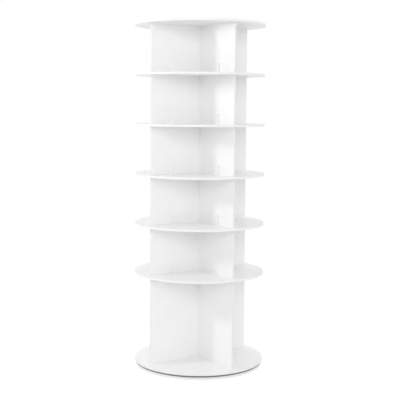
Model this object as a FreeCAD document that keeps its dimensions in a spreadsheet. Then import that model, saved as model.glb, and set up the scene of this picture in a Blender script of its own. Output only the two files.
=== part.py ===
import FreeCAD, Part
import os
import Sketcher

# Rotating shoe tower: seven round boards with crossed upright panels between them,
# turning on a ball bearing above a round base board.
# Millimetres, +Z up, origin at the middle of the underside. The full panels lie along X,
# the half panels along Y. Tier 1 is the tall tier at the bottom, tiers 2 to 6 hold shoes.

doc = FreeCAD.newDocument("shoe_tower")
sheet = doc.addObject("Spreadsheet::Sheet", "Sizes")

drivingSizes = {
    # boards and panels
    "boardRadius": 300.0,
    "baseRadius": 295.0,
    "boardThick": 9.5,
    "panelThick": 9.5,
    "panelReach": 268.0,
    "bootClear": 403.0,
    "shoeClear": 219.0,
    "arrisRound": 0.8,
    # pads under the base board
    "padRadius": 15.0,
    "padThick": 1.0,
    "padCircle": 265.0,
    # turntable bearing
    "bearingGap": 8.5,
    "ringClear": 0.5,
    "ringWidth": 12.8,
    "ringRound": 0.4,
    "raceRadius": 138.0,
    "raceHalfGap": 1.2,
    "ballRadius": 2.5,
    "grooveClear": 0.3,
    "cageHalfThick": 0.75,
    "cageHalfTall": 3.25,
    "cagePocketClear": 0.1,
    "accessRadius": 6.0,
    # screws
    "screwShank": 1.75,
    "screwHead": 3.5,
    "screwClear": 0.05,
    "boardScrewLength": 35.0,
    "ringScrewLength": 15.0,
    "screwNear": 60.0,
    "screwFar": 220.0,
    "capRadius": 6.0,
    "capThick": 1.6,
    "capRim": 0.7,
    # dowels between half panels and full panel
    "dowelRadius": 3.0,
    "dowelGrip": 10.0,
    "dowelInset": 45.0,
    # upright dowels through the middle shelves, from panel to panel
    "standNear": 105.0,
    "standFar": 190.0,
    "standGrip": 12.0,
    # slots at the feet of the shoe tiers' panels
    "slotReach": 156.5,
    "slotWide": 10.0,
    "slotTall": 45.0,
    "slotRound": 3.0,
}

shoeTiers = 5
topLevel = shoeTiers + 1
wingCount = 4
padCount = 6
ballCount = 36
ringScrewCount = 8


class Size:
    # A length that carries its number and the sheet expression that gives it.
    def __init__(self, number, text):
        self.number = number
        self.text = text

    def __add__(self, other):
        other = asSize(other)
        return Size(self.number + other.number, f"({self.text} + {other.text})")

    def __sub__(self, other):
        other = asSize(other)
        return Size(self.number - other.number, f"({self.text} - {other.text})")

    def __mul__(self, other):
        other = asSize(other)
        return Size(self.number * other.number, f"({self.text} * {other.text})")

    def __truediv__(self, other):
        other = asSize(other)
        return Size(self.number / other.number, f"({self.text} / {other.text})")

    def __neg__(self):
        return self * -1

    __radd__ = __add__
    __rmul__ = __mul__


def asSize(value):
    return value if isinstance(value, Size) else Size(float(value), f"{value}")


for row, (alias, number) in enumerate(drivingSizes.items(), start=1):
    sheet.set(f"A{row}", alias)
    sheet.set(f"B{row}", str(number))
    sheet.setAlias(f"B{row}", alias)
doc.recompute()


def size(alias):
    return Size(drivingSizes[alias], f"Sizes.{alias}")


origin = asSize(0)
boardThick = size("boardThick")
panelHalf = size("panelThick") / 2
wingReach = size("panelReach")
bootClear = size("bootClear")
shoeClear = size("shoeClear")
tierPitch = shoeClear + boardThick
baseTop = size("padThick") + boardThick
bearingMid = size("bearingGap") / 2
ringHeight = size("bearingGap") - size("ringClear")
bottomShelfUnder = baseTop + size("bearingGap")
bottomShelfTop = bottomShelfUnder + boardThick
firstShelfTop = bottomShelfTop + bootClear + boardThick
outerRingInside = size("raceRadius") + size("raceHalfGap")
innerRingOutside = size("raceRadius") - size("raceHalfGap")
lowerScrewCircle = outerRingInside + size("ringWidth") / 2
upperScrewCircle = innerRingOutside - size("ringWidth") / 2
dowelHole = size("dowelRadius") + size("screwClear")


def shelfTop(level):
    # top face of the bottom shelf (level 0), a middle shelf (1 to 5) or the top board (topLevel)
    return bottomShelfTop if level == 0 else firstShelfTop + tierPitch * (level - 1)


def bind(item, path, value):
    item.setExpression(path, asSize(value).text)


def addBody(label, lift=origin, turn=0.0):
    body = doc.addObject("PartDesign::Body", label)
    body.Label = label
    body.AllowCompound = True
    body.Placement.Rotation = FreeCAD.Rotation(FreeCAD.Vector(0, 0, 1), turn)
    bind(body, "Placement.Base.z", lift)
    return body


def originItem(body, role):
    return next(item for item in body.Origin.OriginFeatures if item.Role == role)


def addSketch(body, name, role="XY_Plane", lift=origin):
    sketch = body.newObject("Sketcher::SketchObject", name)
    sketch.AttachmentSupport = [(originItem(body, role), "")]
    sketch.MapMode = "FlatFace"
    bind(sketch, "AttachmentOffset.Base.z", lift)
    return sketch


def pinPoint(sketch, edge, end, along, up):
    # fixes one point of a sketch edge at two sizes measured from the sketch origin
    for kind, axis, value in (("DistanceX", -2, asSize(along)), ("DistanceY", -1, asSize(up))):
        if value.number == 0:
            sketch.addConstraint(Sketcher.Constraint("PointOnObject", edge, end, axis))
        else:
            index = sketch.addConstraint(Sketcher.Constraint(kind, -1, 1, edge, end, value.number))
            bind(sketch, f"Constraints[{index}]", value)


def addCircle(sketch, along, up, radius):
    along, up, radius = asSize(along), asSize(up), asSize(radius)
    centre = FreeCAD.Vector(along.number, up.number, 0)
    circle = Part.Circle(centre, FreeCAD.Vector(0, 0, 1), radius.number)
    edge = sketch.addGeometry(circle, False)
    index = sketch.addConstraint(Sketcher.Constraint("Radius", edge, radius.number))
    bind(sketch, f"Constraints[{index}]", radius)
    pinPoint(sketch, edge, 3, along, up)


def addOutline(sketch, corners):
    # closed run of straight lines through the corners, every corner pinned
    corners = [(asSize(along), asSize(up)) for along, up in corners]
    places = [FreeCAD.Vector(along.number, up.number, 0) for along, up in corners]
    edges = []
    for start, end in zip(places, places[1:] + places[:1]):
        edges.append(sketch.addGeometry(Part.LineSegment(start, end), False))
    for edge, following, (along, up) in zip(edges, edges[1:] + edges[:1], corners[1:] + corners[:1]):
        sketch.addConstraint(Sketcher.Constraint("Coincident", edge, 2, following, 1))
        pinPoint(sketch, following, 1, along, up)


def addTurningLine(sketch, along, low, high):
    # construction line parallel to the sketch's vertical axis, for turning a profile about
    start = FreeCAD.Vector(along.number, low.number, 0)
    end = FreeCAD.Vector(along.number, high.number, 0)
    line = sketch.addGeometry(Part.LineSegment(start, end), True)
    pinPoint(sketch, line, 1, along, low)
    pinPoint(sketch, line, 2, along, high)


def addPad(body, sketch, length, symmetric=False):
    pad = body.newObject("PartDesign::Pad", f"{sketch.Name}_pad")
    pad.Profile = sketch
    bind(pad, "Length", length)
    if symmetric:
        pad.SideType = "Symmetric"
    body.Tip = pad
    return pad


def addPocket(body, sketch, length, alongNormal=False, symmetric=False):
    pocket = body.newObject("PartDesign::Pocket", f"{sketch.Name}_pocket")
    pocket.Profile = sketch
    pocket.Reversed = alongNormal
    bind(pocket, "Length", length)
    if symmetric:
        pocket.SideType = "Symmetric"
    body.Tip = pocket
    return pocket


def addTurned(body, sketch, kind, axisName="Axis0"):
    turned = body.newObject(f"PartDesign::{kind}", f"{sketch.Name}_turned")
    turned.Profile = sketch
    turned.ReferenceAxis = (sketch, [axisName])
    turned.Angle = 360
    body.Tip = turned
    return turned


def addPattern(body, kind, features):
    # a pattern of the named features, or of the whole body so far when none are named;
    # a whole body has to be worked out before it can be repeated
    doc.recompute()
    pattern = body.newObject(f"PartDesign::{kind}", f"{body.Name}_{kind}")
    if features:
        pattern.Originals = features
    else:
        pattern.TransformMode = "Whole shape"
    body.Tip = pattern
    return pattern


def patternRound(body, features, count):
    pattern = addPattern(body, "PolarPattern", features)
    pattern.Axis = (originItem(body, "Z_Axis"), [""])
    pattern.Angle = 360
    pattern.Occurrences = count


def patternUp(body, features, count, length):
    pattern = addPattern(body, "LinearPattern", features)
    pattern.Direction = (originItem(body, "Z_Axis"), [""])
    bind(pattern, "Length", length)
    pattern.Occurrences = count


def roundEdges(body, wanted, radius, name):
    # fillets the edges of the body's last feature that the test picks out
    doc.recompute()
    solid = body.Tip
    edges = solid.Shape.Edges
    picked = [f"Edge{number}" for number, edge in enumerate(edges, start=1) if wanted(edge)]
    fillet = body.newObject("PartDesign::Fillet", name)
    fillet.Base = (solid, picked)
    bind(fillet, "Radius", radius)
    body.Tip = fillet
    return fillet


def isRim(radius):
    # test for the full circular edges of a board
    def wanted(edge):
        round_ = isinstance(edge.Curve, Part.Circle)
        return round_ and abs(edge.Curve.Radius - radius) < 0.01
    return wanted


def isUpright(reach):
    # test for the upright edges at a panel's outer ends
    def wanted(edge):
        box = edge.BoundBox
        straight = box.XLength < 0.01 and box.YLength < 0.01 and box.ZLength > 1
        return straight and abs(abs(box.Center.x) - reach) < 0.01
    return wanted


# --- screws and the holes that take them -------------------------------------------------

def addScrewShape(body, name, kind, axisAlong, headFace, way, length, clear=origin):
    # countersunk screw, or its hole, turned about an upright line at axisAlong in the XZ plane;
    # way is +1 for a screw driven upwards and -1 for one driven downwards
    shank = size("screwShank") + clear
    head = size("screwHead") + clear
    sketch = addSketch(body, name, "XZ_Plane")
    tip = headFace + (length + clear) * way
    neck = headFace + (head - shank) * way
    addOutline(sketch, [
        (axisAlong, headFace),
        (axisAlong + head, headFace),
        (axisAlong + shank, neck),
        (axisAlong + shank, tip),
        (axisAlong, tip),
    ])
    low, high = (headFace, tip) if way > 0 else (tip, headFace)
    addTurningLine(sketch, axisAlong, low, high)
    return addTurned(body, sketch, kind)


def cutWingScrewHoles(body, headFace, way):
    # two screw holes on each of the four wings
    clear = size("screwClear")
    cuts = []
    for name, reach in (("near_hole", size("screwNear")), ("far_hole", size("screwFar"))):
        length = size("boardScrewLength")
        cuts.append(addScrewShape(body, name, "Groove", reach, headFace, way, length, clear))
    patternRound(body, cuts, wingCount)


def makeWingScrews(label, lift, way):
    # the eight screws that hold one board to the panels
    body = addBody(label, lift)
    length = size("boardScrewLength")
    near = addScrewShape(body, "near_screw", "Revolution", size("screwNear"), origin, way, length)
    far = addScrewShape(body, "far_screw", "Revolution", size("screwFar"), origin, way, length)
    patternRound(body, [near, far], wingCount)
    return body


# --- boards ------------------------------------------------------------------------------

def startBoard(label, radius, lift):
    body = addBody(label, lift)
    sketch = addSketch(body, "disc")
    addCircle(sketch, 0, 0, radius)
    addPad(body, sketch, boardThick)
    roundEdges(body, isRim(radius.number), size("arrisRound"), "rim_round")
    return body


def cutRingScrewHoles(body, circle, headFace, way):
    clear = size("screwClear")
    length = size("ringScrewLength")
    cut = addScrewShape(body, "ring_hole", "Groove", circle, headFace, way, length, clear)
    patternRound(body, [cut], ringScrewCount)


def makeBaseBoard():
    body = startBoard("base_board", size("baseRadius"), size("padThick"))
    cutRingScrewHoles(body, lowerScrewCircle, boardThick + ringHeight, -1)
    access = addSketch(body, "access_hole", "XY_Plane", boardThick)
    addCircle(access, upperScrewCircle, 0, size("accessRadius"))
    addPocket(body, access, boardThick)
    return body


def makeBasePads():
    body = addBody("base_pads")
    sketch = addSketch(body, "pad")
    addCircle(sketch, size("padCircle"), 0, size("padRadius"))
    addPad(body, sketch, size("padThick"))
    patternRound(body, [], padCount)
    return body


def makeBottomShelf():
    body = startBoard("bottom_shelf", size("boardRadius"), bottomShelfUnder)
    cutWingScrewHoles(body, origin, 1)
    cutRingScrewHoles(body, upperScrewCircle, -ringHeight, 1)
    return body


def cutShelfDowelHoles(body):
    # holes right through a middle shelf for the dowels between the panels above and below it
    sketch = addSketch(body, "dowel_holes", "XY_Plane", boardThick)
    for reach in (size("standNear"), size("standFar")):
        addCircle(sketch, reach, 0, dowelHole)
    pocket = addPocket(body, sketch, boardThick)
    patternRound(body, [pocket], wingCount)


def makeShelf(level):
    body = startBoard(f"shelf_{level}", size("boardRadius"), shelfTop(level) - boardThick)
    cutWingScrewHoles(body, boardThick, -1)
    cutShelfDowelHoles(body)
    return body


def makeTopBoard():
    body = startBoard("top_board", size("boardRadius"), shelfTop(topLevel) - boardThick)
    cutWingScrewHoles(body, boardThick, -1)
    return body


def makeTopCaps():
    # low domed caps over the screws of the top board
    body = addBody("top_screw_caps", shelfTop(topLevel))
    caps = []
    for name, reach in (("near_cap", size("screwNear")), ("far_cap", size("screwFar"))):
        sketch = addSketch(body, name, "XZ_Plane")
        edge = reach + size("capRadius")
        shoulder = edge - size("capThick") + size("capRim")
        addOutline(sketch, [
            (reach, origin), (edge, origin), (edge, size("capRim")),
            (shoulder, size("capThick")), (reach, size("capThick")),
        ])
        addTurningLine(sketch, reach, origin, size("capThick"))
        caps.append(addTurned(body, sketch, "Revolution"))
    patternRound(body, caps, wingCount)
    return body


# --- upright panels ----------------------------------------------------------------------

def dowelHeights(tier):
    clear = bootClear if tier == 1 else shoeClear
    heights = [size("dowelInset"), clear - size("dowelInset")]
    return heights + [clear / 2] if tier == 1 else heights


def makePanel(label, tier, full, turn):
    # full panels run right across, half panels from the full panel's face outwards
    clear = bootClear if tier == 1 else shoeClear
    start = -wingReach if full else panelHalf
    body = addBody(label, shelfTop(tier - 1), turn)
    face = addSketch(body, "face", "XZ_Plane")
    addOutline(face, [(start, 0), (wingReach, 0), (wingReach, clear), (start, clear)])
    addPad(body, face, size("panelThick"), symmetric=True)
    roundEdges(body, isUpright(wingReach.number), size("arrisRound"), "edge_round")
    cutPanelScrewHoles(body, clear, tier, full)
    cutDowelHoles(body, tier, full)
    if tier > 1:
        cutFootSlots(body, full)
        cutUprightDowelHoles(body, "foot_dowel_holes", origin, True, full)
    if tier < topLevel:
        cutUprightDowelHoles(body, "top_dowel_holes", clear, False, full)
    return body


def cutFootSlots(body, full):
    # one slot in each wing, open at the foot and right through the panel, with rounded top corners
    half = size("slotWide") / 2
    tall = size("slotTall")
    sketch = addSketch(body, "foot_slot", "XZ_Plane")
    for side in (1, -1) if full else (1,):
        near = (size("slotReach") - half) * side
        far = (size("slotReach") + half) * side
        addOutline(sketch, [(near, 0), (far, 0), (far, tall), (near, tall)])
    addPocket(body, sketch, size("panelThick"), symmetric=True)

    def isSlotCorner(edge):
        box = edge.BoundBox
        across = box.YLength > 1 and box.XLength < 0.01 and box.ZLength < 0.01
        aside = abs(abs(box.Center.x) - size("slotReach").number) - half.number
        return across and abs(aside) < 0.01 and abs(box.Center.z - tall.number) < 0.01

    roundEdges(body, isSlotCorner, size("slotRound"), "slot_round")


def cutUprightDowelHoles(body, name, height, upward, full):
    # blind holes in the foot or the top edge of a panel
    sketch = addSketch(body, name, "XY_Plane", height)
    for side in (1, -1) if full else (1,):
        for reach in (size("standNear"), size("standFar")):
            addCircle(sketch, reach * side, 0, dowelHole)
    addPocket(body, sketch, size("standGrip") + size("screwClear"), alongNormal=upward)


def cutPanelScrewHoles(body, clear, tier, full):
    # holes down into the top edge, and in tier 1 also up into the bottom edge
    slack = size("screwClear")
    length = size("boardScrewLength")
    cuts = []
    for name, reach in (("near", size("screwNear")), ("far", size("screwFar"))):
        above = clear + boardThick
        cuts.append(addScrewShape(body, f"{name}_top", "Groove", reach, above, -1, length, slack))
        if tier == 1:
            below = -boardThick
            cuts.append(addScrewShape(body, f"{name}_foot", "Groove", reach, below, 1, length, slack))
    if full:
        patternRound(body, cuts, 2)


def cutDowelHoles(body, tier, full):
    role, depth = ("XZ_Plane", size("panelThick")) if full else ("YZ_Plane", dowelDepth())
    sketch = addSketch(body, "dowel_holes", role)
    for height in dowelHeights(tier):
        addCircle(sketch, 0, height, dowelHole)
    addPocket(body, sketch, depth, alongNormal=not full, symmetric=full)


def dowelDepth():
    return panelHalf + size("dowelGrip") + size("screwClear")


def makeWingDowels():
    # dowels through the full panels into both half panels, in every tier
    body = addBody("wing_dowels", bottomShelfTop)
    length = (panelHalf + size("dowelGrip")) * 2
    boot = addSketch(body, "boot_dowels", "XZ_Plane")
    for height in dowelHeights(1):
        addCircle(boot, 0, height, size("dowelRadius"))
    addPad(body, boot, length, symmetric=True)
    shoe = addSketch(body, "shoe_dowels", "XZ_Plane")
    for height in dowelHeights(2):
        addCircle(shoe, 0, bootClear + boardThick + height, size("dowelRadius"))
    pad = addPad(body, shoe, length, symmetric=True)
    patternUp(body, [pad], shoeTiers, tierPitch * (shoeTiers - 1))
    return body


def makeShelfDowels():
    # upright dowels through the middle shelves, one wing first, then all four and every shelf
    body = addBody("shelf_dowels", shelfTop(1))
    grip = size("standGrip")
    sketch = addSketch(body, "dowels", "XY_Plane", -(boardThick + grip))
    for reach in (size("standNear"), size("standFar")):
        addCircle(sketch, reach, 0, size("dowelRadius"))
    addPad(body, sketch, boardThick + grip * 2)
    patternRound(body, [], wingCount)
    patternUp(body, [], shoeTiers, tierPitch * (shoeTiers - 1))
    return body


# --- turntable bearing -------------------------------------------------------------------

def makeRing(label, lift, inside, screwCircle, headFace, way, ballHeight):
    # flat ring with a race for the balls in one side and countersunk screw holes
    body = addBody(label, lift)
    sketch = addSketch(body, "annulus")
    addCircle(sketch, 0, 0, inside)
    addCircle(sketch, 0, 0, inside + size("ringWidth"))
    addPad(body, sketch, ringHeight)
    roundEdges(body, lambda edge: isinstance(edge.Curve, Part.Circle), size("ringRound"), "ring_round")
    race = addSketch(body, "race", "XZ_Plane")
    addCircle(race, size("raceRadius"), ballHeight, size("ballRadius") + size("grooveClear"))
    addTurned(body, race, "Groove", "V_Axis")
    cutRingScrewHoles(body, screwCircle, headFace, way)
    return body


def makeRingScrews(label, lift, circle, way):
    body = addBody(label, lift)
    length = size("ringScrewLength")
    screw = addScrewShape(body, "ring_screw", "Revolution", circle, origin, way, length)
    patternRound(body, [screw], ringScrewCount)
    return body


def makeCage():
    # thin ring with one pocket for each ball
    body = addBody("bearing_cage", baseTop)
    half = size("cageHalfThick")
    ring = addSketch(body, "ring", "XY_Plane", bearingMid - size("cageHalfTall"))
    addCircle(ring, 0, 0, size("raceRadius") - half)
    addCircle(ring, 0, 0, size("raceRadius") + half)
    addPad(body, ring, size("cageHalfTall") * 2)
    pockets = addSketch(body, "ball_pocket", "YZ_Plane")
    addCircle(pockets, 0, bearingMid, size("ballRadius") + size("cagePocketClear"))
    cut = addPocket(body, pockets, size("raceRadius") + half * 2, alongNormal=True)
    patternRound(body, [cut], ballCount)
    return body


def makeBalls():
    body = addBody("bearing_balls", baseTop)
    ball = body.newObject("PartDesign::AdditiveSphere", "ball")
    ball.AttachmentSupport = [(originItem(body, "XY_Plane"), "")]
    ball.MapMode = "FlatFace"
    bind(ball, "Radius", size("ballRadius"))
    bind(ball, "AttachmentOffset.Base.x", size("raceRadius"))
    bind(ball, "AttachmentOffset.Base.z", bearingMid)
    patternRound(body, [ball], ballCount)
    return body


# --- the whole tower ---------------------------------------------------------------------

def makeTower():
    upperRingUnder = baseTop + size("ringClear")
    lowerRingTop = baseTop + ringHeight
    innerRingInside = innerRingOutside - size("ringWidth")
    made = [
        makeBaseBoard(),
        makeBasePads(),
        makeRing("bearing_lower_ring", baseTop, outerRingInside, lowerScrewCircle,
                 ringHeight, -1, bearingMid),
        makeRing("bearing_upper_ring", upperRingUnder, innerRingInside, upperScrewCircle,
                 origin, 1, bearingMid - size("ringClear")),
        makeCage(),
        makeBalls(),
        makeRingScrews("lower_ring_screws", lowerRingTop, lowerScrewCircle, -1),
        makeRingScrews("upper_ring_screws", upperRingUnder, upperScrewCircle, 1),
        makeBottomShelf(),
        makeWingScrews("bottom_shelf_screws", bottomShelfUnder, 1),
        makeTopBoard(),
        makeWingScrews("top_board_screws", shelfTop(topLevel), -1),
        makeTopCaps(),
        makeWingDowels(),
        makeShelfDowels(),
    ]
    for level in range(1, shoeTiers + 1):
        made.append(makeShelf(level))
        made.append(makeWingScrews(f"shelf_{level}_screws", shelfTop(level), -1))
    for tier in range(1, topLevel + 1):
        made.append(makePanel(f"tier{tier}_full_panel", tier, True, 0.0))
        made.append(makePanel(f"tier{tier}_front_panel", tier, False, -90.0))
        made.append(makePanel(f"tier{tier}_back_panel", tier, False, 90.0))
    return made


def checkDocument(bodies):
    failed = [item.Label for item in doc.Objects if "Invalid" in item.State or "Error" in item.State]
    if failed:
        raise RuntimeError(f"failed: {failed}")
    for body in bodies:
        shape = body.Shape
        if shape.isNull() or not shape.isValid() or shape.Volume <= 0:
            raise RuntimeError(f"{body.Label} has no valid shape")
        for feature in body.Group:
            checkCut(feature)


def checkCut(feature):
    # a pocket or groove has to take material away
    if feature.TypeId in ("PartDesign::Pocket", "PartDesign::Groove"):
        before = feature.BaseFeature.Shape.Volume
        if feature.Shape.Volume > before - 0.01:
            raise RuntimeError(f"{feature.Label} cuts nothing")


bodies = makeTower()
doc.recompute()
checkDocument(bodies)
os.makedirs("parts", exist_ok=True)
for body in bodies:
    body.Shape.exportStep(f"parts/{body.Label}.step")
    print(f"{body.Label}: {len(body.Shape.Solids)} solids, {body.Shape.Volume / 1000:.1f} cm3")
print(f"{len(bodies)} nodes, {shelfTop(topLevel).number:.1f} mm tall to the top board")
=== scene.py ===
import math

import bpy
import numpy as np
from mathutils import Matrix, Vector


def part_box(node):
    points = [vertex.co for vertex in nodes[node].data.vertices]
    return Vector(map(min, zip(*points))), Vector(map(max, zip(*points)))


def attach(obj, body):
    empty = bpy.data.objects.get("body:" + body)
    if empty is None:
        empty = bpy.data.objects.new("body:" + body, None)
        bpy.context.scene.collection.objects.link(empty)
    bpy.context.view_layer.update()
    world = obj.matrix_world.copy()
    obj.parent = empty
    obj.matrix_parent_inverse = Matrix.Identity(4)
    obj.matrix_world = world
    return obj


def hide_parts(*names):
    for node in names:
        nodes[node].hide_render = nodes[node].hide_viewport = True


# Rotating shoe tower: white melamine-faced boards and panels on a ball-bearing turntable.
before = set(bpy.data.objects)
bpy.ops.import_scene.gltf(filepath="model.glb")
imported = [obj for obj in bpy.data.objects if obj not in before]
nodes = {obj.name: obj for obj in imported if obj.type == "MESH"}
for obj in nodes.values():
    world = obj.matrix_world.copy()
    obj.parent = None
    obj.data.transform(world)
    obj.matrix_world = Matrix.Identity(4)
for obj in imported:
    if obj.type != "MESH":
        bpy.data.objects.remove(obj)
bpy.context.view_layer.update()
print("frame loaded:", len(nodes), "nodes")


def hexColour(text):
    # sRGB hex to linear: straight line near black, power 2.4 above it
    channels = np.array([int(text[i:i + 2], 16) for i in (1, 3, 5)]) / 255
    linear = np.where(channels <= 0.04045, channels / 12.92, ((channels + 0.055) / 1.055) ** 2.4)
    return (*linear.tolist(), 1.0)


def perMetre(millimetres):
    # texture scale at which one feature is this wide: how many of them fit in a metre
    return 1000.0 / millimetres


def addNode(tree, kind, links=None, **settings):
    # adds a node, sets its properties, then fills its inputs with sockets or plain values
    node = tree.nodes.new("ShaderNode" + kind)
    for name, value in settings.items():
        setattr(node, name, value)
    for name, value in (links or {}).items():
        if isinstance(value, bpy.types.NodeSocket):
            tree.links.new(value, node.inputs[name])
        else:
            node.inputs[name].default_value = value
    return node


def startMaterial(name):
    material = bpy.data.materials.new(name)
    material.use_nodes = True
    material.node_tree.nodes.clear()
    return material, material.node_tree


def endMaterial(tree, shader):
    addNode(tree, "OutputMaterial", {"Surface": shader.outputs[0]})


# melamine-faced board, the paper pressed to a satin plate: even white with a faint pearl grain and a
# very slow ripple, softly glossy, and a few cloth marks that show only in the gloss
melamine = {
    "white": "#F9F9F9",
    "greyer": "#F6F6F6",
    "toneMm": 90.0,
    "mottleMm": 7.0,
    "pearlMm": 3.6,  # real pearl grain is about 1 mm, drawn coarser so that it shows
    "pearlDepth": 0.000010,
    "rippleMm": 55.0,
    "rippleDepth": 0.00004,
    "wipeScale": (4.0, 4.0, 26.0),
    "roughness": (0.29, 0.36),
    "gapShadeBacking": "#E4E2DF",  # bare balancing sheet on the two faces that look into the bearing gap, made greyer than the white as painted shade for the gap
    "gapShadeBackingFibre": "#D9D7D3",
    "fibreMm": 2.5,
    "backingRoughness": 0.8,
    "gapShadeFrom": 0.7,  # how far up a face has to look to get the greyer backing, the painted gap shade
    "ior": 1.5,
}


def melamineBoard(name, gapShadeSide=0):
    # colour from slow tone and fine mottle, roughness from wipe marks, bump from ripple and pearl;
    # the side argument, 1 or -1, turns the upper or lower face into the bare backing sheet,
    # whose greyer tone is painted shade for the bearing gap
    finish = melamine
    material, tree = startMaterial(name)
    place = addNode(tree, "TexCoord")
    spot = place.outputs["Object"]
    tone = addNode(tree, "TexNoise", {"Vector": spot, "Scale": perMetre(finish["toneMm"]), "Detail": 3.0})
    mottle = addNode(tree, "TexNoise", {"Vector": spot, "Scale": perMetre(finish["mottleMm"]),
                                        "Detail": 2.0})
    blend = addNode(tree, "Math", {0: tone.outputs[0], 1: mottle.outputs[0]}, operation="ADD")
    grey = addNode(tree, "MapRange", {0: blend.outputs[0], 1: 0.7, 2: 1.3, 3: 0.0, 4: 1.0})
    colour = addNode(tree, "Mix", {0: grey.outputs[0], 6: hexColour(finish["white"]),
                                   7: hexColour(finish["greyer"])}, data_type="RGBA").outputs[2]
    stretched = addNode(tree, "Mapping", {"Vector": spot, "Scale": finish["wipeScale"]})
    wipe = addNode(tree, "TexNoise", {"Vector": stretched.outputs[0], "Scale": 1.0, "Detail": 4.0})
    low, high = finish["roughness"]
    rough = addNode(tree, "MapRange", {0: wipe.outputs[0], 1: 0.3, 2: 0.7, 3: low, 4: high}).outputs[0]
    ripple = addNode(tree, "TexNoise", {"Vector": spot, "Scale": perMetre(finish["rippleMm"]),
                                        "Detail": 1.0})
    pearl = addNode(tree, "TexVoronoi", {"Vector": spot, "Scale": perMetre(finish["pearlMm"]),
                                         "Smoothness": 1.0}, feature="SMOOTH_F1")
    wave = addNode(tree, "Bump", {"Strength": 1.0, "Distance": finish["rippleDepth"],
                                  "Height": ripple.outputs[0]})
    grain = addNode(tree, "Bump", {"Strength": 1.0, "Distance": finish["pearlDepth"],
                                   "Height": pearl.outputs[0], "Normal": wave.outputs[0]})
    if gapShadeSide:
        # painted shade: the greyer backing paper darkens the faces that look into the bearing gap
        fibre = addNode(tree, "TexNoise", {"Vector": spot, "Scale": perMetre(finish["fibreMm"]),
                                           "Detail": 4.0, "Distortion": 1.5})
        gapShadePaper = addNode(tree, "Mix", {0: fibre.outputs[0], 6: hexColour(finish["gapShadeBacking"]),
                                      7: hexColour(finish["gapShadeBackingFibre"])}, data_type="RGBA")
        facing = addNode(tree, "SeparateXYZ", {"Vector": place.outputs["Normal"]})
        upward = addNode(tree, "Math", {0: facing.outputs["Z"], 1: float(gapShadeSide)}, operation="MULTIPLY")
        gapShadeMask = addNode(tree, "Math", {0: upward.outputs[0], 1: finish["gapShadeFrom"]},
                         operation="GREATER_THAN").outputs[0]
        colour = addNode(tree, "Mix", {0: gapShadeMask, 6: colour, 7: gapShadePaper.outputs[2]},
                         data_type="RGBA").outputs[2]
        rough = addNode(tree, "Mix", {0: gapShadeMask, 2: rough, 3: finish["backingRoughness"]},
                        data_type="FLOAT").outputs[0]
    shader = addNode(tree, "BsdfPrincipled", {"Base Color": colour, "Roughness": rough,
                                              "IOR": finish["ior"], "Normal": grain.outputs[0]})
    endMaterial(tree, shader)
    return material


# PVC edge band, extruded, glued on and buffed: a shade greyer and smoother than the faces, with fine
# lines along its length and a duller, scraped corner
edgeBand = {
    "shelfColour": "#F3F3F3",
    "panelColour": "#EDEDED",
    "streakLong": 60.0,
    "streakMm": 0.9,  # real extrusion lines are about 0.2 mm apart, drawn coarser so that they show
    "streakShade": "#E6E6E6",
    "streakAmount": 0.35,
    "streakDepth": 0.000008,
    "roughness": (0.34, 0.46),
    "ior": 1.52,
    "thick": 1.0,
    "proud": 0.05,
    "corner": 0.86,
    "cornerSteps": 5,
}


def pvcEdgeBand(name, colour):
    # reads the band's own map, metres along it and metres round its profile
    finish = edgeBand
    material, tree = startMaterial(name)
    flat = addNode(tree, "UVMap", uv_map="bandMap")
    stretch = (perMetre(finish["streakLong"]), perMetre(finish["streakMm"]), 1.0)
    lines = addNode(tree, "Mapping", {"Vector": flat.outputs[0], "Scale": stretch})
    streak = addNode(tree, "TexNoise", {"Vector": lines.outputs[0], "Scale": 1.0, "Detail": 3.0,
                                        "Roughness": 0.6})
    amount = addNode(tree, "MapRange", {0: streak.outputs[0], 1: 0.35, 2: 0.75, 3: 0.0,
                                        4: finish["streakAmount"]})
    shade = addNode(tree, "Mix", {0: amount.outputs[0], 6: hexColour(finish[colour]),
                                  7: hexColour(finish["streakShade"])}, data_type="RGBA")
    low, high = finish["roughness"]
    rough = addNode(tree, "MapRange", {0: streak.outputs[0], 1: 0.3, 2: 0.7, 3: low, 4: high})
    bump = addNode(tree, "Bump", {"Strength": 1.0, "Distance": finish["streakDepth"],
                                  "Height": streak.outputs[0]})
    shader = addNode(tree, "BsdfPrincipled", {"Base Color": shade.outputs[2], "Roughness": rough.outputs[0],
                                              "IOR": finish["ior"], "Normal": bump.outputs[0]})
    endMaterial(tree, shader)
    return material


# turned aluminium bearing rings: dull silver with rings left by the lathe tool
rings = {
    "bright": "#D2D3D4",
    "dull": "#B4B6B8",
    "feedMm": 0.6,  # tool feed is about 0.1 mm, drawn coarser so that it shows
    "feedDepth": 0.00001,
    "stainMm": 18.0,
    "roughness": (0.29, 0.42),
}


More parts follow.
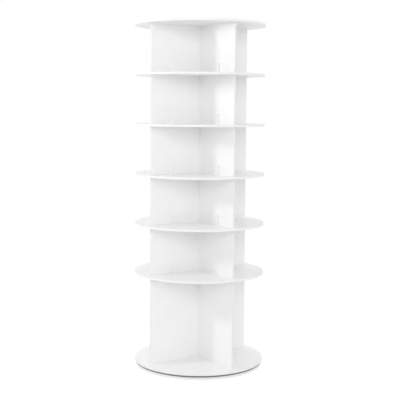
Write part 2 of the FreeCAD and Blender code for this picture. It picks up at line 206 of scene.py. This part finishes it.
def turnedAluminium():
    # marks depend only on the distance from the axis; stains are slow noise
    finish = rings
    material, tree = startMaterial("turnedAluminium")
    spot = addNode(tree, "TexCoord").outputs["Object"]
    across = addNode(tree, "VectorMath", {0: spot, 1: (1.0, 1.0, 0.0)}, operation="MULTIPLY")
    radius = addNode(tree, "VectorMath", {0: across.outputs[0]}, operation="LENGTH")
    marks = addNode(tree, "TexNoise", {"W": radius.outputs["Value"], "Scale": perMetre(finish["feedMm"]),
                                       "Detail": 3.0}, noise_dimensions="1D")
    stain = addNode(tree, "TexNoise", {"Vector": spot, "Scale": perMetre(finish["stainMm"]), "Detail": 4.0})
    colour = addNode(tree, "Mix", {0: stain.outputs[0], 6: hexColour(finish["bright"]),
                                   7: hexColour(finish["dull"])}, data_type="RGBA")
    low, high = finish["roughness"]
    rough = addNode(tree, "MapRange", {0: marks.outputs[0], 1: 0.3, 2: 0.7, 3: low, 4: high})
    bump = addNode(tree, "Bump", {"Strength": 1.0, "Distance": finish["feedDepth"],
                                  "Height": marks.outputs[0]})
    shader = addNode(tree, "BsdfPrincipled", {"Base Color": colour.outputs[2], "Metallic": 1.0,
                                              "Roughness": rough.outputs[0], "Normal": bump.outputs[0]})
    endMaterial(tree, shader)
    return material


# bright zinc plate on screws and balls: silver with a faint blue and straw bloom from the passivating bath
zinc = {
    "blue": "#C6CBD1",
    "straw": "#D0CCBF",
    "bloomMm": 6.0,
    "grainMm": 0.7,
    "grainDepth": 0.000006,
    "roughness": (0.29, 0.38),
}


def zincPlate():
    finish = zinc
    material, tree = startMaterial("zincPlate")
    spot = addNode(tree, "TexCoord").outputs["Object"]
    bloom = addNode(tree, "TexNoise", {"Vector": spot, "Scale": perMetre(finish["bloomMm"]), "Detail": 2.0})
    tint = addNode(tree, "MapRange", {0: bloom.outputs[0], 1: 0.35, 2: 0.65, 3: 0.0, 4: 1.0})
    colour = addNode(tree, "Mix", {0: tint.outputs[0], 6: hexColour(finish["blue"]),
                                   7: hexColour(finish["straw"])}, data_type="RGBA")
    grain = addNode(tree, "TexNoise", {"Vector": spot, "Scale": perMetre(finish["grainMm"]), "Detail": 3.0})
    low, high = finish["roughness"]
    rough = addNode(tree, "MapRange", {0: grain.outputs[0], 1: 0.3, 2: 0.7, 3: low, 4: high})
    bump = addNode(tree, "Bump", {"Strength": 1.0, "Distance": finish["grainDepth"],
                                  "Height": grain.outputs[0]})
    shader = addNode(tree, "BsdfPrincipled", {"Base Color": colour.outputs[2], "Metallic": 1.0,
                                              "Roughness": rough.outputs[0], "Normal": bump.outputs[0]})
    endMaterial(tree, shader)
    return material


# the plain mouldings and the dowels: each has two tones, a fine grain and its own gloss
mouldings = {
    # natural nylon of the ball cage: waxy cream, spark-eroded mould texture
    "mouldedNylon": {"tones": ("#E9E4D6", "#DDD6C4"), "toneMm": 9.0, "grain": (0.8, 0.8, 0.8),
                     "depth": 0.00001, "roughness": (0.45, 0.58), "ior": 1.53},
    # polyethylene screw caps: softer white than the board, with flow marks
    "mouldedPolyethylene": {"tones": ("#F4F4F4", "#EDEDED"), "toneMm": 3.0, "grain": (1.1, 1.1, 1.1),
                            "depth": 0.000012, "roughness": (0.30, 0.42), "ior": 1.51},
    # rubber pads: near black, dull, with a dusty bloom
    "blackRubber": {"tones": ("#2A2A2B", "#3A3A3B"), "toneMm": 5.0, "grain": (0.9, 0.9, 0.9),
                    "depth": 0.00004, "roughness": (0.78, 0.92), "ior": 1.52},
    # turned beech dowels: warm, with short flecks along the grain, which runs along Y
    "turnedBeech": {"tones": ("#D8B88D", "#C39C6E"), "toneMm": 4.0, "grain": (0.7, 12.0, 0.7),
                    "depth": 0.00005, "roughness": (0.55, 0.7), "ior": 1.5},
    # the same beech in the dowels that stand upright in the shelves, with its grain along Z
    "uprightBeech": {"tones": ("#D8B88D", "#C39C6E"), "toneMm": 4.0, "grain": (0.7, 0.7, 12.0),
                     "depth": 0.00005, "roughness": (0.55, 0.7), "ior": 1.5},
}


def mouldedFinish(name):
    # colour from slow noise plus some of the grain, roughness and bump from the grain
    finish = mouldings[name]
    material, tree = startMaterial(name)
    spot = addNode(tree, "TexCoord").outputs["Object"]
    slow = addNode(tree, "TexNoise", {"Vector": spot, "Scale": perMetre(finish["toneMm"]), "Detail": 3.0})
    scale = tuple(perMetre(mm) for mm in finish["grain"])
    sized = addNode(tree, "Mapping", {"Vector": spot, "Scale": scale})
    grain = addNode(tree, "TexNoise", {"Vector": sized.outputs[0], "Scale": 1.0, "Detail": 3.0})
    both = addNode(tree, "Math", {0: grain.outputs[0], 1: slow.outputs[0]}, operation="ADD")
    tint = addNode(tree, "MapRange", {0: both.outputs[0], 1: 0.7, 2: 1.3, 3: 0.0, 4: 1.0})
    first, second = finish["tones"]
    colour = addNode(tree, "Mix", {0: tint.outputs[0], 6: hexColour(first), 7: hexColour(second)},
                     data_type="RGBA")
    low, high = finish["roughness"]
    rough = addNode(tree, "MapRange", {0: grain.outputs[0], 1: 0.3, 2: 0.7, 3: low, 4: high})
    bump = addNode(tree, "Bump", {"Strength": 1.0, "Distance": finish["depth"], "Height": grain.outputs[0]})
    shader = addNode(tree, "BsdfPrincipled", {"Base Color": colour.outputs[2], "Roughness": rough.outputs[0],
                                              "IOR": finish["ior"], "Normal": bump.outputs[0]})
    endMaterial(tree, shader)
    return material


# finishes by the record's slots, and the nodes that have one of their own: two boards with a backing sheet
# whose greyer tone paints shade into the bearing gap, and the upright dowels
slotFinish = {
    "white_board": melamineBoard("melamineBoard"),
    "ring_aluminium": turnedAluminium(),
    "zinc_steel": zincPlate(),
    "cage_plastic": mouldedFinish("mouldedNylon"),
    "cap_plastic": mouldedFinish("mouldedPolyethylene"),
    "pad_rubber": mouldedFinish("blackRubber"),
    "dowel_beech": mouldedFinish("turnedBeech"),
}
nodeFinish = {
    # the two boards around the bearing gap, whose faces inside it get the greyer backing as painted shade
    "base_board": melamineBoard("melamineBoardGapShadeAbove", 1),
    "bottom_shelf": melamineBoard("melamineBoardGapShadeBelow", -1),
    "shelf_dowels": mouldedFinish("uprightBeech"),
}
for nodeName, node in nodes.items():
    for slot in node.material_slots:
        slotName = slot.material.name.split(".")[0]
        slot.material = nodeFinish.get(nodeName, slotFinish[slotName])
print("materials done:", len(slotFinish) + len(nodeFinish))


sharpFrom = 35.0  # degrees between two faces from which their edge is drawn sharp


def gridPiece(name, grid, material, body, closeRows=False, along=None, around=None):
    # grid holds shells, rows, columns and xyz in metres: columns always close on themselves, rows close
    # or end in a flat face each, and every face is turned outwards by the sign of the enclosed volume
    shells, rows, columns = grid.shape[:3]
    index = np.arange(shells * rows * columns).reshape(shells, rows, columns)
    corners = [index, np.roll(index, -1, 2), np.roll(np.roll(index, -1, 2), -1, 1), np.roll(index, -1, 1)]
    kept = rows if closeRows else rows - 1
    quads = np.stack(corners, -1)[:, :kept].reshape(-1, 4)
    points = grid.reshape(-1, 3)
    ends = [] if closeRows else [index[:, 0], index[:, -1, ::-1]]
    middle = points.mean(0)
    a, b, c, d = (points[quads[:, k]] - middle for k in range(4))
    volume = (np.cross(a, b) * c).sum() + (np.cross(a, c) * d).sum()
    for face in ends:
        fan = points[face] - middle
        first = np.repeat(fan[:, :1], columns - 2, 1)
        volume += (np.cross(first, fan[:, 1:-1]) * fan[:, 2:]).sum()
    turn = -1 if volume < 0 else 1
    faces = quads[:, ::turn].tolist() + [row for face in ends for row in face[:, ::turn].tolist()]
    mesh = bpy.data.meshes.new(name)
    mesh.from_pydata(points, [], faces)
    if along is not None:
        # map of metres along and metres round, unwrapped so that it doesn't run back at the seam
        u = np.stack([along[:-1], along[:-1], along[1:], along[1:]], -1)[:kept, None, :]
        v = np.stack([around[:-1], around[1:], around[1:], around[:-1]], -1)[None, :, :]
        u, v = (np.broadcast_to(w, (shells, kept, columns, 4)).reshape(-1, 4)[:, ::turn] for w in (u, v))
        flat = np.stack([u, v], -1).reshape(-1, 2)
        rest = len(mesh.loops) - len(flat)
        layer = mesh.uv_layers.new(name="bandMap")
        layer.data.foreach_set("uv", np.concatenate([flat, np.zeros((rest, 2))]).ravel())
    mesh.polygons.foreach_set("use_smooth", np.ones(len(mesh.polygons), dtype=bool))
    mesh.set_sharp_from_angle(angle=math.radians(sharpFrom))
    mesh.materials.append(material)
    piece = bpy.data.objects.new(name, mesh)
    bpy.context.scene.collection.objects.link(piece)
    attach(piece, body)
    return piece


def bandProfile(half):
    # closed outline of a band: outward and up in metres, flat at the back, quarter rounds at the front
    finish = edgeBand
    angle = np.linspace(0, math.pi / 2, finish["cornerSteps"] + 1)
    middle = finish["proud"] - finish["corner"]
    lift = half + finish["proud"] - finish["corner"]
    outward = np.concatenate([[-finish["thick"]], middle + finish["corner"] * np.sin(angle),
                              middle + finish["corner"] * np.cos(angle), [-finish["thick"]]])
    up = np.concatenate([[-half - finish["proud"]], -lift - finish["corner"] * np.cos(angle),
                         lift + finish["corner"] * np.sin(angle), [half + finish["proud"]]])
    return outward / 1000, up / 1000


def runLength(points):
    # distance travelled along a line of points, with the step back to the first at the end
    steps = np.linalg.norm(np.diff(points, axis=0, append=points[:1]), axis=1)
    return np.concatenate([[0.0], np.cumsum(steps)])


# round boards: node, body, radius and direction of the joint in their band, in mm and degrees
roundBands = {
    "boardHalf": 4.75,
    "steps": 480,
    "jointSteps": 7,
    "jointWidth": 0.25,
    "jointDepth": 0.3,
    "boards": {
        "base_board": ("base", 295.0, 62.0),
        "bottom_shelf": ("tower", 300.0, 48.0),
        "shelf_1": ("tower", 300.0, 41.0),
        "shelf_2": ("tower", 300.0, 55.0),
        "shelf_3": ("tower", 300.0, 37.0),
        "shelf_4": ("tower", 300.0, 50.0),
        "shelf_5": ("tower", 300.0, 44.0),
        "top_board": ("tower", 300.0, 58.0),
    },
}


def makeRoundBands():
    # the profile is carried round the board; at the joint of its two ends the outside dips by a bell
    # curve of the distance along the rim
    sizes = roundBands
    finish = pvcEdgeBand("pvcShelfBand", "shelfColour")
    outward, up = bandProfile(sizes["boardHalf"])
    for nodeName, (body, radius, direction) in sizes["boards"].items():
        joint = math.radians(direction)
        near = np.linspace(-3, 3, sizes["jointSteps"]) * sizes["jointWidth"] / radius
        far = np.linspace(near[-1], 2 * math.pi + near[0], sizes["steps"])[1:-1]
        angle = np.concatenate([near, far])
        dip = np.exp(-((np.minimum(angle, 2 * math.pi - angle) * radius / sizes["jointWidth"]) ** 2))
        front = np.where(outward > outward.min(), sizes["jointDepth"] / 1000, 0.0)
        reach = radius / 1000 + outward[None, :] - np.outer(dip, front)
        low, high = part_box(nodeName)
        height = np.broadcast_to((low[2] + high[2]) / 2 + up[None, :], reach.shape)
        turned = (angle + joint)[:, None]
        grid = np.stack([reach * np.cos(turned), reach * np.sin(turned), height], -1)[None]
        along = np.concatenate([angle, [2 * math.pi + angle[0]]]) * radius / 1000
        around = runLength(np.stack([outward, up], -1))
        gridPiece("edge_band_" + nodeName, grid, finish, body, True, along, around)


# bands on the outer ends of the panels, in mm
panelBands = {
    "reach": 268.0,
    "panelHalf": 4.75,
    "clear": 0.02,
    "tiers": 6,
    "wings": 4,
    "rows": 9,
}


def makePanelBands():
    # the profile is carried straight up each of a tier's four panel ends
    sizes = panelBands
    finish = pvcEdgeBand("pvcPanelBand", "panelColour")
    outward, across = bandProfile(sizes["panelHalf"])
    around = runLength(np.stack([outward, across], -1))
    reach = sizes["reach"] / 1000 + outward
    turns = np.arange(sizes["wings"]) * 2 * math.pi / sizes["wings"]
    for tier in range(1, sizes["tiers"] + 1):
        low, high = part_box(f"tier{tier}_full_panel")
        clear = sizes["clear"] / 1000
        heights = np.linspace(low[2] + clear, high[2] - clear, sizes["rows"])
        x = np.outer(np.cos(turns), reach) - np.outer(np.sin(turns), across)
        y = np.outer(np.sin(turns), reach) + np.outer(np.cos(turns), across)
        shape = (sizes["wings"], len(heights), len(reach))
        grid = np.stack([np.broadcast_to(x[:, None, :], shape), np.broadcast_to(y[:, None, :], shape),
                         np.broadcast_to(heights[None, :, None], shape)], -1)
        along = np.append(heights - heights[0], 0.0)
        gridPiece(f"edge_bands_tier{tier}", grid, finish, "tower", False, along, around)


# screw caps on the top board: low domes with a soft rim and the small dimple of the moulding gate
screwCaps = {
    "radius": 6.0,
    "thick": 1.6,
    "power": 5.0,
    "gateRadius": 1.0,
    "gateDepth": 0.18,
    "reaches": (60.0, 220.0),
    "wings": 4,
    "innermost": 0.12,
    "rings": 22,
    "steps": 48,
}


def makeScrewCaps():
    # height over the radius is a superellipse less a bell-shaped dimple in the middle
    sizes = screwCaps
    part = np.sin(np.linspace(0, math.pi / 2, sizes["rings"]))
    radius = np.clip(part * sizes["radius"], sizes["innermost"], None)[::-1]
    dome = sizes["thick"] * (1 - (radius / sizes["radius"]) ** sizes["power"]) ** (1 / sizes["power"])
    lift = dome - sizes["gateDepth"] * np.exp(-((radius / sizes["gateRadius"]) ** 2))
    angle = np.arange(sizes["steps"]) * 2 * math.pi / sizes["steps"]
    low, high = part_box("top_screw_caps")
    shells = []
    for reach in sizes["reaches"]:
        for wing in range(sizes["wings"]):
            turn = wing * 2 * math.pi / sizes["wings"]
            x = reach * math.cos(turn) + np.outer(radius, np.cos(angle))
            y = reach * math.sin(turn) + np.outer(radius, np.sin(angle))
            z = low[2] * 1000 + np.broadcast_to(lift[:, None], x.shape)
            shells.append(np.stack([x, y, z], -1) / 1000)
    caps = gridPiece("screw_caps", np.stack(shells), slotFinish["cap_plastic"], "tower")
    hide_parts("top_screw_caps")


# rubber pads under the base board: flat discs with a rounded lower edge
rubberPads = {
    "radius": 15.0,
    "thick": 1.0,
    "round": 0.45,
    "circle": 265.0,
    "count": 6,
    "steps": 64,
    "bendSteps": 5,
}


def makeRubberPads():
    # outline from the lower face out and up: quarter round, straight side, small quarter round
    sizes = rubberPads
    bend = np.linspace(0, math.pi / 2, sizes["bendSteps"])
    radius = sizes["radius"] - sizes["round"] + sizes["round"] * np.concatenate([np.sin(bend), np.cos(bend)])
    lift = np.concatenate([sizes["round"] * (1 - np.cos(bend)),
                           sizes["thick"] - sizes["round"] + sizes["round"] * np.sin(bend)])
    angle = np.arange(sizes["steps"]) * 2 * math.pi / sizes["steps"]
    shells = []
    for turn in np.arange(sizes["count"]) * 2 * math.pi / sizes["count"]:
        x = sizes["circle"] * math.cos(turn) + np.outer(radius, np.cos(angle))
        y = sizes["circle"] * math.sin(turn) + np.outer(radius, np.sin(angle))
        shells.append(np.stack([x, y, np.broadcast_to(lift[:, None], x.shape)], -1) / 1000)
    pads = gridPiece("rubber_pads", np.stack(shells), slotFinish["pad_rubber"], "base")
    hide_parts("base_pads")


makeRoundBands()
makePanelBands()
makeScrewCaps()
makeRubberPads()
print("bands, caps and pads done")


# floor and studio
studio = {
    "floorSide": 40.0,
    "floorColour": "#EBEBEB",
    "floorGlow": 0.93,
    "floorShade": "#5C5C5C",
    "skyStrength": 0.60,
    "wallLight": {"left": 0.16, "right": 0.60, "back": 0.90},
    "lamps": {
        "keyLamp": {"place": (-2.12, 0.89, 1.69), "aim": (0.0, 0.0, 0.8), "size": 0.3, "power": 13.0},
        "softbox": {"place": (-2.86, -4.10, 2.1), "aim": (0.0, 0.0, 0.8), "size": 1.9, "power": 63.0},
    },
}


def whiteRays(tree):
    # 1 for rays that should meet plain white: from the camera, from gloss and through glass
    path = addNode(tree, "LightPath")
    seen = addNode(tree, "Math", {0: path.outputs["Is Camera Ray"], 1: path.outputs["Is Glossy Ray"]},
                   operation="MAXIMUM")
    return addNode(tree, "Math", {0: seen.outputs[0], 1: path.outputs["Is Transmission Ray"]},
                   operation="MAXIMUM").outputs[0]


def makeFloor():
    side = studio["floorSide"] / 2
    mesh = bpy.data.meshes.new("floor")
    corners = [(-side, -side, 0), (side, -side, 0), (side, side, 0), (-side, side, 0)]
    mesh.from_pydata(corners, [], [(0, 1, 2, 3)])
    floor = bpy.data.objects.new("floor", mesh)
    bpy.context.scene.collection.objects.link(floor)
    material, tree = startMaterial("studioFloor")
    gapShadePaper = addNode(tree, "BsdfDiffuse", {"Color": hexColour(studio["floorColour"])})
    glow = addNode(tree, "Emission", {"Strength": studio["floorGlow"]})
    shade = addNode(tree, "BsdfDiffuse", {"Color": hexColour(studio["floorShade"])})
    white = addNode(tree, "AddShader", {0: glow.outputs[0], 1: shade.outputs[0]})  # keeps the shadow
    mix = addNode(tree, "MixShader", {0: whiteRays(tree), 1: gapShadePaper.outputs[0], 2: white.outputs[0]})
    endMaterial(tree, mix)
    mesh.materials.append(material)
    return floor


def makeWorld():
    # light from a direction = sky + for each wall its strength times the squared cosine towards it
    turn = math.radians(cameraView["turn"])
    away = Vector((math.sin(turn), math.cos(turn), 0))
    across = Vector((math.cos(turn), -math.sin(turn), 0))
    walls = {"left": -across, "right": across, "back": away}
    world = bpy.data.worlds.new("studio")
    world.use_nodes = True
    tree = world.node_tree
    tree.nodes.clear()
    direction = addNode(tree, "TexCoord").outputs["Generated"]
    total = studio["skyStrength"]
    for name, strength in studio["wallLight"].items():
        cosine = addNode(tree, "VectorMath", {0: direction, 1: walls[name]}, operation="DOT_PRODUCT")
        facing = addNode(tree, "Math", {0: cosine.outputs["Value"], 1: 0.0}, operation="MAXIMUM")
        lobe = addNode(tree, "Math", {0: facing.outputs[0], 1: 2.0}, operation="POWER")
        total = addNode(tree, "Math", {0: lobe.outputs[0], 1: strength, 2: total},
                        operation="MULTIPLY_ADD").outputs[0]
    sky = addNode(tree, "Background", {"Color": (1, 1, 1, 1), "Strength": total})
    white = addNode(tree, "Background", {"Color": (1, 1, 1, 1), "Strength": 1.0})
    mix = addNode(tree, "MixShader", {0: whiteRays(tree), 1: sky.outputs[0], 2: white.outputs[0]})
    addNode(tree, "OutputWorld", {"Surface": mix.outputs[0]})
    bpy.context.scene.world = world


def makeLamps():
    for name, settings in studio["lamps"].items():
        lamp = bpy.data.lights.new(name, "AREA")
        lamp.size = settings["size"]
        lamp.energy = settings["power"]
        holder = bpy.data.objects.new(name, lamp)
        place = Vector(settings["place"])
        aim = Vector(settings["aim"]) - place
        holder.matrix_world = Matrix.Translation(place) @ aim.to_track_quat("-Z", "Y").to_matrix().to_4x4()
        holder.visible_camera = False
        bpy.context.scene.collection.objects.link(holder)


# camera
cameraView = {
    "focalPixels": 903.4,
    "pictureSide": 400,
    "sensorWidth": 36.0,
    "distance": 4.203,
    "height": 1.2082,
    "turn": 34.869,
    "pitch": 4.812,
    "roll": 0.404,
    "yaw": 0.029,
    "centreRow": 182.0,
}


def makeCamera():
    # stands at the turn angle from -Y towards -X, looks at the axis, tips down by pitch and leans by roll
    view = cameraView
    turn, pitch, roll = (math.radians(view[k]) for k in ("turn", "pitch", "roll"))
    heading = turn + math.radians(view["yaw"])
    forward = Vector((math.sin(heading) * math.cos(pitch), math.cos(heading) * math.cos(pitch),
                      -math.sin(pitch)))
    level = Vector((math.cos(heading), -math.sin(heading), 0))
    upright = level.cross(forward)
    right = level * math.cos(roll) + upright * math.sin(roll)
    top = upright * math.cos(roll) - level * math.sin(roll)
    lens = bpy.data.cameras.new("camera")
    lens.sensor_width = view["sensorWidth"]
    lens.lens = view["focalPixels"] * view["sensorWidth"] / view["pictureSide"]
    lens.shift_y = (view["centreRow"] - view["pictureSide"] / 2) / view["pictureSide"]
    camera = bpy.data.objects.new("camera", lens)
    place = Vector((-math.sin(turn), -math.cos(turn), 0)) * view["distance"] + Vector((0, 0, view["height"]))
    axes = Matrix((right, top, -forward)).transposed().to_4x4()
    camera.matrix_world = Matrix.Translation(place) @ axes
    bpy.context.scene.collection.objects.link(camera)
    bpy.context.scene.camera = camera


makeFloor()
makeWorld()
makeLamps()
makeCamera()
bpy.context.scene.view_settings.view_transform = "Standard"
print("studio done")
